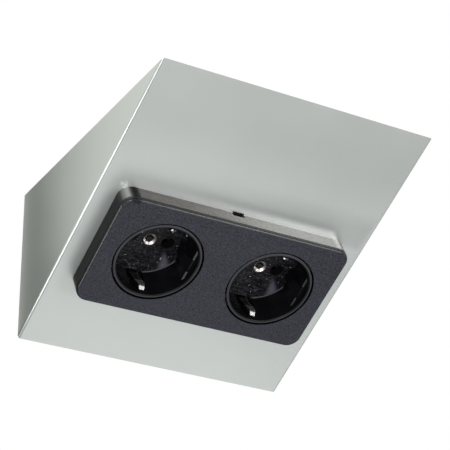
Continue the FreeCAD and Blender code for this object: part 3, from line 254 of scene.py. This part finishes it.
# The finishes. "shader" holds fixed values of the shader's own sockets, and "bump" the depth in
# millimetres and the strength. Each other row is a weighted sum: a base, and how much of each
# pattern or mask goes in.
FINISHES = {
    "satin_sheet": {
        "shader": {"Metallic": 0.9},
        "bump": (0.006, 0.5),
        "tone": {"cloud": 0.5, "grain": 0.5},
        "roughness": {"base": 0.41, "cloud": 0.07, "grain": 0.05, "fold": -0.18, "band": -0.12},
    },
    "zinc_plate": {
        "shader": {"Metallic": 1.0},
        "bump": (0.008, 0.5),
        "roughness": {"base": 0.24, "patches": 0.2},
    },
    "cover_plastic": {
        "shader": {
            "Specular IOR Level": 0.4, "Specular Tint": (1.0, 0.95, 0.93, 1.0),
            "Coat Roughness": 0.1, "Coat IOR": 2.0,
        },
        "bump": (0.04, 0.6),
        "tone": {"speckle": 0.75, "cloud": 0.25},
        "relief": {"speckle": 1.0, "pits": 0.4},
        "roughness": {"base": 0.10, "bevel": 0.08, "face": 0.32, "pitted": 0.08},
        "coat": {"corner": 0.75, "bevel": 0.16, "ledge": 0.06, "rising": 0.08, "end": 0.5},
        "side_shade": {"side": 0.58},
        "groove_shade": {"groove": 0.75},
        "ledge_shade": {"shade": 0.6, "falling": 0.3},
    },
    "cup_plastic": {
        "shader": {"Specular IOR Level": 0.16},
        "bump": (0.02, 0.4),
        "dust_and_painted_light": {"lint": 0.7, "streaks": 0.18},
        "relief": {"grain": 1.0, "floor_lint": 3.0},
        "roughness": {"base": 0.17, "cloud": 0.06, "floor": 0.16, "rim": 0.2, "deep": 0.4},
    },
    "box_plastic": {
        "shader": {"Specular IOR Level": 0.5},
        "bump": (0.02, 0.4),
        "roughness": {"base": 0.42, "cloud": 0.14},
    },
    "lid_plastic": {
        "shader": {"Specular IOR Level": 0.15},
        "bump": (0.02, 0.4),
        "roughness": {"base": 0.42, "cloud": 0.14},
    },
    "contact_bronze": {
        "shader": {"Metallic": 1.0},
        "bump": (0.005, 0.4),
        "roughness": {"base": 0.34, "tarnish": 0.12, "marks": 0.05},
    },
    "terminal_brass": {
        "shader": {"Metallic": 1.0},
        "bump": (0.005, 0.4),
        "roughness": {"base": 0.22, "tarnish": 0.12, "marks": 0.05},
    },
    "nickel_plate": {
        "shader": {"Metallic": 1.0},
        "bump": (0.005, 0.4),
        "roughness": {"base": 0.14, "tarnish": 0.12, "marks": 0.05},
    },
    "screw_metal": {
        "shader": {"Metallic": 1.0},
        "bump": (0.01, 0.4),
        "screw_rim_shade": {"rim": 0.75},
        "screw_side_shade": {"greasy": 0.6},
        "roughness": {"base": 0.5, "clean": -0.18, "marks": 0.08},
    },
    "spring_strip": {
        "shader": {"Metallic": 1.0},
        "bump": (0.005, 0.4),
        "painted_highlight": {"edge": 0.8},
        "roughness": {"base": 0.26, "tarnish": 0.12, "marks": 0.05},
    },
    "grommet_rubber": {
        "shader": {},
        "bump": (0.02, 0.4),
        "roughness": {"base": 0.62, "bloom": 0.2},
    },
    "seal_foam": {
        "shader": {"Specular IOR Level": 0.1},
        "bump": (0.05, 0.6),
        "roughness": {"base": 0.85, "cells": 0.1},
    },
}
# A dull black shader, mixed in as painted shade.
PAINTED_SHADE_BLACK = {
    "Base Color": (0.002, 0.002, 0.003, 1.0), "Roughness": 0.7, "Specular IOR Level": 0.05,
}


def opaque(colour):
    """A colour with full alpha, or a wire as it is."""
    return colour if isinstance(colour, Wire) else (*colour, 1.0)


class Wire:
    """A socket in a node tree. Sums on it add Math nodes, and add() makes any other node."""

    def __init__(self, tree, socket=None):
        self.tree = tree
        self.socket = socket

    def add(self, kind, settings=None, inputs=None, output=0):
        node = self.tree.nodes.new("ShaderNode" + kind)
        for name, value in (settings or {}).items():
            setattr(node, name, value)
        for name, value in (inputs or {}).items():
            if isinstance(value, Wire):
                self.tree.links.new(value.socket, node.inputs[name])
            else:
                node.inputs[name].default_value = value
        return Wire(self.tree, node.outputs[output])

    def math(self, operation, *values):
        return self.add("Math", {"operation": operation}, dict(enumerate(values)))

    def __add__(self, other):
        return self.math("ADD", self, other)

    def __radd__(self, other):
        return self.math("ADD", other, self)

    def __sub__(self, other):
        return self.math("SUBTRACT", self, other)

    def __rsub__(self, other):
        return self.math("SUBTRACT", other, self)

    def __mul__(self, other):
        return self.math("MULTIPLY", self, other)

    def __rmul__(self, other):
        return self.math("MULTIPLY", other, self)

    def __abs__(self):
        return self.math("ABSOLUTE", self)

    def sign(self):
        return self.math("SIGN", self)

    def root(self):
        return self.math("SQRT", self)

    def larger(self, other):
        return self.math("MAXIMUM", self, other)

    def step_between(self, low, high):
        """0 below low and 1 above high, smooth between them."""
        settings = {"interpolation_type": "SMOOTHSTEP"}
        span = {"Value": self, "From Min": low, "From Max": high}
        return self.add("MapRange", settings, span)

    def past(self, zone):
        """0 before one of the ZONES and 1 past it."""
        start, end = ZONES[zone]
        return self.step_between(start * MM, end * MM)

    def before(self, zone):
        """1 before one of the ZONES and 0 past it."""
        return 1.0 - self.past(zone)

    def colours(self, low, high):
        """A colour from low to high as this value goes from 0 to 1."""
        return self.add("Mix", {"data_type": "RGBA"}, {0: self, 6: opaque(low), 7: opaque(high)}, 2)

    def tinted(self, tint):
        """This colour times another one."""
        settings = {"data_type": "RGBA", "blend_type": "MULTIPLY"}
        return self.add("Mix", settings, {0: 1.0, 6: self, 7: tint}, 2)

    def along(self, axis):
        """How far this point lies along an axis from the plate's centre, in metres."""
        offset = self.add("VectorMath", {"operation": "SUBTRACT"}, {0: self, 1: PLATE_CENTRE})
        return self.add("VectorMath", {"operation": "DOT_PRODUCT"}, {0: offset, 1: axis}, "Value")

    def pattern(self, name):
        """One of the PATTERNS at this point, from about 0 to 1."""
        row = PATTERNS[name]
        point = self
        if "stretch" in row:
            stretch = {"Vector": self, "Scale": row["stretch"]}
            point = self.add("Mapping", {"vector_type": "TEXTURE"}, stretch)
        sockets = {"Vector": point, "Scale": row["scale"], "Detail": row["detail"]}
        noise = self.add("TexNoise", {}, {**sockets, "Roughness": row.get("rough", EVEN_ROUGH)})
        return noise.step_between(*row["flecks"]) if "flecks" in row else noise


class Finish:
    """A material for this part, fed from Object coordinates."""

    def __init__(self, name):
        self.row = FINISHES[name]
        self.material = bpy.data.materials.new(name)
        self.material.use_nodes = True
        self.tree = self.material.node_tree
        self.shader = self.tree.nodes["Principled BSDF"]
        for socket, value in self.row["shader"].items():
            self.shader.inputs[socket].default_value = value
        self.place = Wire(self.tree).add("TexCoord", output="Object")

    def across(self):
        return self.place.along(ACROSS)

    def upward(self):
        return self.place.along(UP_SLOPE)

    def height(self):
        return self.place.along(OUTWARD)

    def from_axis(self):
        """How far to the right of the nearer socket's axis this point lies."""
        across = self.across()
        return across - across.sign() * (SOCKET_X["right"] * MM)

    def total(self, row, **wires):
        """The weighted sum that one row of the finish asks for."""
        weights = self.row[row]
        parts = [wire * weights[name] for name, wire in wires.items()]
        amount = parts[0]
        for part in parts[1:]:
            amount = amount + part
        return amount + weights["base"] if "base" in weights else amount

    def feed(self, **wires):
        for name, wire in wires.items():
            self.tree.links.new(wire.socket, self.shader.inputs[name.replace("_", " ")])

    def mix_painted_shade(self, share):
        """Paints shade: hides a share of the shader behind a dull black one."""
        dull = share.add("BsdfPrincipled", {}, PAINTED_SHADE_BLACK)
        shader = Wire(self.tree, self.shader.outputs["BSDF"])
        both = share.add("MixShader", {}, {0: share, 1: shader, 2: dull})
        self.tree.links.new(both.socket, self.tree.nodes["Material Output"].inputs["Surface"])

    def bump(self, height):
        depth, strength = self.row["bump"]
        sockets = {"Height": height, "Distance": depth * MM, "Strength": strength}
        self.feed(Normal=height.add("Bump", {}, sockets))

    def paint(self, *names):
        for name in names:
            node = NODES[name]
            if node.material_slots:
                for slot in node.material_slots:
                    slot.material = self.material
            else:
                node.data.materials.append(self.material)


def satin_sheet():
    """Satin steel sheet with a fine even grain, faint cloudiness and smoother folds, with painted
    light on its cheeks and on the plate's lower part, fading to painted shade up the slope.
    """
    sheet = Finish("satin_sheet")
    cloud = sheet.place.pattern("sheet_cloud")
    grain = sheet.place.pattern("sheet_grain")
    across, upward, height = sheet.across(), sheet.upward(), sheet.height()
    tone = sheet.total("tone", cloud=cloud, grain=grain)
    plate = height.past("sheet_plate")
    # Painted light on the plate's lower part, fading to painted shade up the slope, and painted
    # light on the cheeks.
    plate_painted_light = upward.past("plate_shade_rise").colours(*PLATE_PAINTED_LIGHT_AND_SHADE)
    tint = plate.colours(CHEEK_PAINTED_LIGHT, plate_painted_light)
    sheet.feed(Base_Color=tone.colours(*STEEL).tinted(tint))
    fold = abs(across).past("fold_side") * height.past("fold_height")
    above_cover = upward.past("band_start") * upward.before("band_end")
    band = abs(across).before("band_sides") * above_cover * across.past("band_rise") * plate
    sheet.feed(Roughness=sheet.total("roughness", cloud=cloud, grain=grain, fold=fold, band=band))
    sheet.bump(grain)
    return sheet


def zinc_plate():
    """Zinc-plated steel: bluish, with small dull and bright patches."""
    zinc = Finish("zinc_plate")
    patches = zinc.place.pattern("zinc_patches")
    zinc.feed(Base_Color=patches.colours(*ZINC))
    zinc.feed(Roughness=zinc.total("roughness", patches=patches))
    zinc.bump(zinc.place.pattern("zinc_grain"))
    return zinc


def cover_plastic():
    """Matte black cover: spark-eroded speckle on the face, glossier side walls, painted light
    streaked along the upper ledge and painted shade on the walls.
    """
    cover = Finish("cover_plastic")
    across, upward, height = cover.across(), cover.upward(), cover.height()
    face = height.past("cover_face")
    bevel = height.past("cover_bevel")
    wall = 1.0 - bevel
    ledge = upward.past("ledge_up") * height.before("ledge_height")
    speckle = cover.place.pattern("cover_speckle")
    tone = cover.total("tone", speckle=speckle, cloud=cover.place.pattern("cover_cloud"))
    # Painted light on the upper ledge, where light falls on it.
    dust_and_painted_light = cover.place.pattern("ledge_streaks").colours(*LEDGE_PAINTED_LIGHT)
    walls = ledge.colours(COVER_WALL, dust_and_painted_light)
    cover.feed(Base_Color=face.colours(walls, tone.colours(*COVER_SKIN)))
    cover.feed(Roughness=cover.total("roughness", bevel=bevel, face=face, pitted=face * speckle))
    corner = abs(across).past("corner_side") * abs(upward).past("corner_end") * wall
    rise = across.past("cover_rise")
    end = ledge * across.past("ledge_end")
    rising = ledge * rise
    coat = cover.total("coat", corner=corner, bevel=bevel, ledge=ledge, rising=rising, end=end)
    cover.feed(Coat_Weight=(1.0 - face) * coat)
    # Painted shade on the walls, the groove under the face and the left part of the upper ledge.
    paint_cover_wall_shade(cover, wall, ledge * (1.0 - rise))
    relief = cover.total("relief", speckle=speckle, pits=cover.place.pattern("cover_pits"))
    cover.bump(relief * face)
    return cover


def paint_cover_wall_shade(cover, wall, falling):
    """Paints shade with a dull black shader on the cover's side walls, the groove under its face, a
    band past its upper left corner and the left part of its upper ledge.
    """
    across, height = cover.across(), cover.height()
    leftward = cover.place.along(-ACROSS)
    side = cover.total("side_shade", side=abs(across).past("cover_side") * wall)
    groove = height.past("groove_start") * height.before("groove_end")
    shade = leftward.past("shade_start") * leftward.before("shade_end")
    shade = shade * cover.upward().past("shade_up")
    around = side.larger(cover.total("groove_shade", groove=groove))
    cover.mix_painted_shade(around.larger(cover.total("ledge_shade", shade=shade, falling=falling)))


def cup_plastic():
    """Glossy black socket cups with a satin, dusty floor and a satin ring, painted light on the
    floor and painted shade deep in the holes.
    """
    cup = Finish("cup_plastic")
    height = cup.height()
    rim = height.past("cup_rim")
    floor = height.before("cup_floor")
    deep = height.before("cup_deep")
    cloud = cup.place.pattern("cup_cloud")
    lint = cup.place.pattern("cup_lint")
    dust_and_painted_light = cup.total("dust_and_painted_light", lint=lint, streaks=cup.place.pattern("cup_streaks"))
    painted_light_share, from_centre = painted_floor_light(cup)
    floor_dust_and_painted_light = painted_light_share.colours(dust_and_painted_light.colours(*CUP_DUST), CUP_PAINTED_LIGHT)
    specks = cup.place.pattern("cup_specks") * floor
    shown = specks.colours(floor.colours(cloud.colours(*CUP_WALL), floor_dust_and_painted_light), CUP_SPECK)
    ring = rim * from_centre.past("cup_ring")
    # Painted shade below the floor, in the holes.
    cup.feed(Base_Color=ring.colours(deep.colours(shown, CUP_DEEP_SHADE), CUP_RING))
    cup.feed(Roughness=cup.total("roughness", cloud=cloud, floor=floor, rim=rim, deep=deep))
    grain = cup.place.pattern("cup_grain")
    cup.bump(cup.total("relief", grain=grain, floor_lint=lint * floor))
    return cup


def painted_floor_light(cup):
    """How much painted light a cup's floor gets, as a pool in a wedge and a highlight at its lower
    edge, and how far its axis is.
    """
    right = cup.from_axis()
    down = cup.place.along(-UP_SLOPE)
    off_line = abs(right - WEDGE_START * MM - down * WEDGE_LEAN)
    wedge = (off_line - down * WEDGE_SPREAD).before("wedge_width") * down.past("wedge_start")
    from_centre = (right * right + down * down).root()
    edge = from_centre.past("floor_edge") * down.past("edge_down") * right.past("edge_right")
    return wedge + edge, from_centre


def moulded_box(name, colours):
    """Hard moulding of the contact box or its lid, with a dry, slightly clouded skin."""
    box = Finish(name)
    cloud = box.place.pattern("box_cloud")
    box.feed(Base_Color=cloud.colours(*colours))
    box.feed(Roughness=box.total("roughness", cloud=cloud))
    box.bump(box.place.pattern("box_grain"))
    return box


def contact_metal(name, colours):
    """Pressed contact strip or turned metal, with drawing marks and a little tarnish."""
    metal = Finish(name)
    tarnish = metal.place.pattern("tarnish")
    marks = metal.place.pattern("drawing_marks")
    metal.feed(Base_Color=tarnish.colours(*colours))
    metal.feed(Roughness=metal.total("roughness", tarnish=tarnish, marks=marks))
    metal.bump(marks)
    return metal


def screw_metal():
    """Bright nickel on the head of a screw, with painted shade and dark reflection in its recess,
    on its rim and at its upper left side.
    """
    screw = Finish("screw_metal")
    height = screw.height()
    rim = screw.total("screw_rim_shade", rim=height.past("screw_rim"))
    clean = height.past("screw_dish") * (1.0 - rim)
    marks = screw.place.pattern("screw_marks")
    toward_shade = screw.upward() * SCREW_SHADE_UP - screw.from_axis() * SCREW_SHADE_LEFT
    side = screw.total("screw_side_shade", greasy=toward_shade.past("screw_shade_reach"))
    shown = clean * (1.0 - side)
    screw.feed(Base_Color=shown.colours(SCREW_PAINTED_SHADE, marks.colours(*SCREW_NICKEL)))
    screw.feed(Roughness=screw.total("roughness", clean=clean, marks=marks))
    screw.bump(marks)
    return screw


def spring_strip():
    """The earth strap: spring steel painted dark as shade, with painted highlights at the ears'
    tips and right edges and a painted gleam on the upper ears.
    """
    strip = Finish("spring_strip")
    tarnish = strip.place.pattern("tarnish")
    marks = strip.place.pattern("strap_marks")
    right = strip.from_axis()
    edge = strip.total("painted_highlight", edge=right.past("ear_highlight_edge"))
    painted_highlight = edge.larger(strip.height().past("ear_tip"))
    steel = painted_highlight.colours(STRAP_PAINTED_DARK, tarnish.colours(*STRAP_STEEL))
    gleam = abs(right - GLEAM_X * MM).before("ear_gleam")
    upper_ears = strip.upward().past("upper_ears")
    strip.feed(Base_Color=upper_ears.colours(steel, gleam.colours(*UPPER_EAR_PAINTED_GLEAM)))
    strip.feed(Roughness=strip.total("roughness", tarnish=tarnish, marks=marks))
    strip.bump(marks)
    return strip


def grommet_rubber():
    """Soft black rubber with a dusty bloom."""
    rubber = Finish("grommet_rubber")
    bloom = rubber.place.pattern("rubber_bloom")
    rubber.feed(Base_Color=bloom.colours(*RUBBER))
    rubber.feed(Roughness=rubber.total("roughness", bloom=bloom))
    rubber.bump(bloom)
    return rubber


def seal_foam():
    """Black closed-cell foam."""
    foam = Finish("seal_foam")
    cells = foam.place.pattern("foam_cells")
    foam.feed(Base_Color=cells.colours(*FOAM))
    foam.feed(Roughness=foam.total("roughness", cells=cells))
    foam.bump(cells)
    return foam


def paint_nodes():
    """Gives every piece of the part its finish."""
    satin_sheet().paint("housing")
    angles = ("cabinet_angle_left", "cabinet_angle_right", "wall_angle_left", "wall_angle_right")
    zinc_plate().paint("carrier_frame", "carrier_screws", "carrier_nuts", "module_screws", *angles)
    cover_plastic().paint("cover_frame")
    cup_plastic().paint("socket_cup_left", "socket_cup_right")
    moulded_box("box_plastic", BOX_GREY).paint("contact_box")
    # The lid's near-black colour is painted shade seen through the pin holes.
    moulded_box("lid_plastic", LID_SHADE_BLACK).paint("contact_box_lid")
    bronze = contact_metal("contact_bronze", BRONZE)
    bronze.paint("line_tulip_left", "line_tulip_right", "neutral_tulip_left", "neutral_tulip_right")
    bronze.paint("line_bar", "neutral_bar", "contact_rivets")
    brass = contact_metal("terminal_brass", BRASS)
    brass.paint("line_terminal", "neutral_terminal", "bonding_pillar")
    nickel = contact_metal("nickel_plate", NICKEL)
    nickel.paint("terminal_screws", "bonding_screw", "earth_terminal_screw", "earth_clamp_plate")
    spring_strip().paint("earth_strap")
    grommet_rubber().paint("cable_grommet")


def turned_mesh(outline):
    """A closed turned form about the Z axis, from radius and height points."""
    mesh = bmesh.new()
    points = [mesh.verts.new((radius * MM, 0.0, height * MM)) for radius, height in outline]
    edges = [mesh.edges.new(pair) for pair in zip(points, points[1:])]
    bmesh.ops.spin(
        mesh, geom=points + edges, cent=Vector((0.0, 0.0, 0.0)), axis=Vector((0.0, 0.0, 1.0)),
        angle=math.tau, steps=TURN_STEPS, use_merge=True,
    )
    bmesh.ops.remove_doubles(mesh, verts=mesh.verts, dist=MERGE_DISTANCE * MM)
    bmesh.ops.recalc_face_normals(mesh, faces=mesh.faces)
    return mesh


def centre_screw(side, finish):
    """The screw on a cup's floor: a low rim, a dished head and a cross recess with round lobes."""
    mesh = turned_mesh(SCREW_OUTLINE)
    for point in mesh.verts:
        radius = point.co.xy.length / MM
        in_recess = point.co.z / MM > RECESS_LIMIT and 0.0 < radius < RECESS_R
        if in_recess and radius != SHANK_R:
            turn = math.atan2(point.co.y, point.co.x)
            lobe = RECESS_LOBE * math.cos(RECESS_LOBES * turn) * (1.0 - radius / RECESS_R)
            point.co.xy *= 1.0 + lobe
    place = TO_PLATE @ Matrix.Translation(Vector((SOCKET_X[side], 0.0, CUP_FLOOR)) * MM)
    mesh.transform(place @ Matrix.Rotation(math.radians(RECESS_TURN), 4, "Z"))
    return added_piece("recessed_screw_" + side, mesh, finish, "centre_screw_" + side)


def cup_seal(side, finish):
    """The foam ring that closes the gap around a cup."""
    mesh = turned_mesh(SEAL_OUTLINE)
    mesh.transform(TO_PLATE @ Matrix.Translation(Vector((SOCKET_X[side], 0.0, 0.0)) * MM))
    return added_piece("cup_seal_" + side, mesh, finish)


def slot_shade_pad(finish):
    """The foam pad on the inside of the sheet, behind the blade slot, put there as painted shade in
    the slot.
    """
    mesh = bmesh.new()
    bmesh.ops.create_cube(mesh, size=2.0)
    bmesh.ops.scale(mesh, vec=Vector(PAD_HALF) * MM, verts=mesh.verts)
    bmesh.ops.bevel(
        mesh, geom=mesh.edges[:], offset=PAD_EDGE * MM, offset_type="OFFSET",
        segments=PAD_EDGE_STEPS, profile=0.5, affect="EDGES", material=-1,
    )
    mesh.transform(TO_PLATE @ Matrix.Translation(Vector(PAD_CENTRE) * MM))
    return added_piece("slot_shade_pad", mesh, finish)


def added_piece(name, mesh, finish, replaced=None):
    """Turns a mesh into a smooth-shaded piece, which may stand for a CAD node."""
    data = bpy.data.meshes.new(name)
    mesh.to_mesh(data)
    mesh.free()
    piece = bpy.data.objects.new(name, data)
    bpy.context.scene.collection.objects.link(piece)
    data.materials.append(finish.material)
    data.shade_smooth()
    data.set_sharp_from_angle(angle=math.radians(SHARP_ANGLE))
    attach(piece, "root")
    if replaced:
        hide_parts(replaced)
    return piece


def stage_plane(name, centre, half_width, half_length, colour):
    """A flat sheet of the studio, plainly coloured."""
    middle, side, end = Vector(centre), Vector(half_width), Vector(half_length)
    quarters = ((-1, -1), (1, -1), (1, 1), (-1, 1))
    corners = [middle + x * side + y * end for x, y in quarters]
    mesh = bpy.data.meshes.new(name)
    plane = bpy.data.objects.new(name, mesh)
    mesh.from_pydata(corners, [], [(0, 1, 2, 3)])
    bpy.context.scene.collection.objects.link(plane)
    paper = bpy.data.materials.new(name)
    paper.use_nodes = True
    shader = paper.node_tree.nodes["Principled BSDF"]
    shader.inputs["Base Color"].default_value = colour
    shader.inputs["Roughness"].default_value = PAPER_ROUGHNESS
    shader.inputs["Specular IOR Level"].default_value = 0.0
    mesh.materials.append(paper)
    return plane


def studio():
    """The floor, the cards, the white surroundings and the soft lamps."""
    across, along = (FLOOR_HALF, 0.0, 0.0), (0.0, FLOOR_HALF, 0.0)
    stage_plane("floor", (0.0, 0.0, FLOOR_Z), across, along, FLOOR_COLOUR)
    for name, (centre, half_width, half_length, shade) in CARDS.items():
        card = stage_plane(name, centre, half_width, half_length, (shade, shade, shade, 1.0))
        card.visible_camera = False
        card.visible_diffuse = False
        card.visible_shadow = False
    white_surroundings()
    for name, (place, size, power) in LAMPS.items():
        soft_lamp(name, place, size, power)


def white_surroundings():
    """White where the camera and reflections look, and a dimmer light for everything else."""
    world = bpy.data.worlds.new("studio_white")
    bpy.context.scene.world = world
    world.use_nodes = True
    tree = world.node_tree
    camera_ray = Wire(tree).add("LightPath", output="Is Camera Ray")
    path = camera_ray.socket.node
    shown = camera_ray.larger(Wire(tree, path.outputs["Is Glossy Ray"]))
    shown = shown.larger(Wire(tree, path.outputs["Is Transmission Ray"]))
    strength = AMBIENT + shown * (1.0 - AMBIENT)
    background = tree.nodes["Background"]
    background.inputs["Color"].default_value = WHITE
    tree.links.new(strength.socket, background.inputs["Strength"])


def soft_lamp(name, place, size, power):
    """A square lamp that faces the plate's centre and isn't seen itself."""
    light = bpy.data.lights.new(name, "AREA")
    light.size = size
    light.energy = power
    lamp = bpy.data.objects.new(name, light)
    lamp.location = place
    lamp.rotation_mode = "QUATERNION"
    lamp.rotation_quaternion = (PLATE_CENTRE - place).to_track_quat("-Z", "Y")
    lamp.visible_camera = False
    bpy.context.scene.collection.objects.link(lamp)


def camera():
    """The camera at the picture's viewpoint."""
    lens = bpy.data.cameras.new("camera")
    lens.lens = CAMERA_LENS
    lens.sensor_width = SENSOR_WIDTH
    lens.clip_start, lens.clip_end = CAMERA_REACH
    eye = bpy.data.objects.new("camera", lens)
    back = -CAMERA_LOOK.normalized()
    right = CAMERA_UP.cross(back).normalized()
    up = back.cross(right)
    turn = Matrix((right, up, back)).transposed().to_4x4()
    eye.matrix_world = Matrix.Translation(CAMERA_PLACE) @ turn
    bpy.context.scene.collection.objects.link(eye)
    bpy.context.scene.camera = eye


paint_nodes()
screw_finish = screw_metal()
foam_finish = seal_foam()
for socket in SOCKET_X:
    centre_screw(socket, screw_finish)
    cup_seal(socket, foam_finish)
slot_shade_pad(foam_finish)
studio()
camera()
bpy.context.scene.view_settings.view_transform = "Standard"
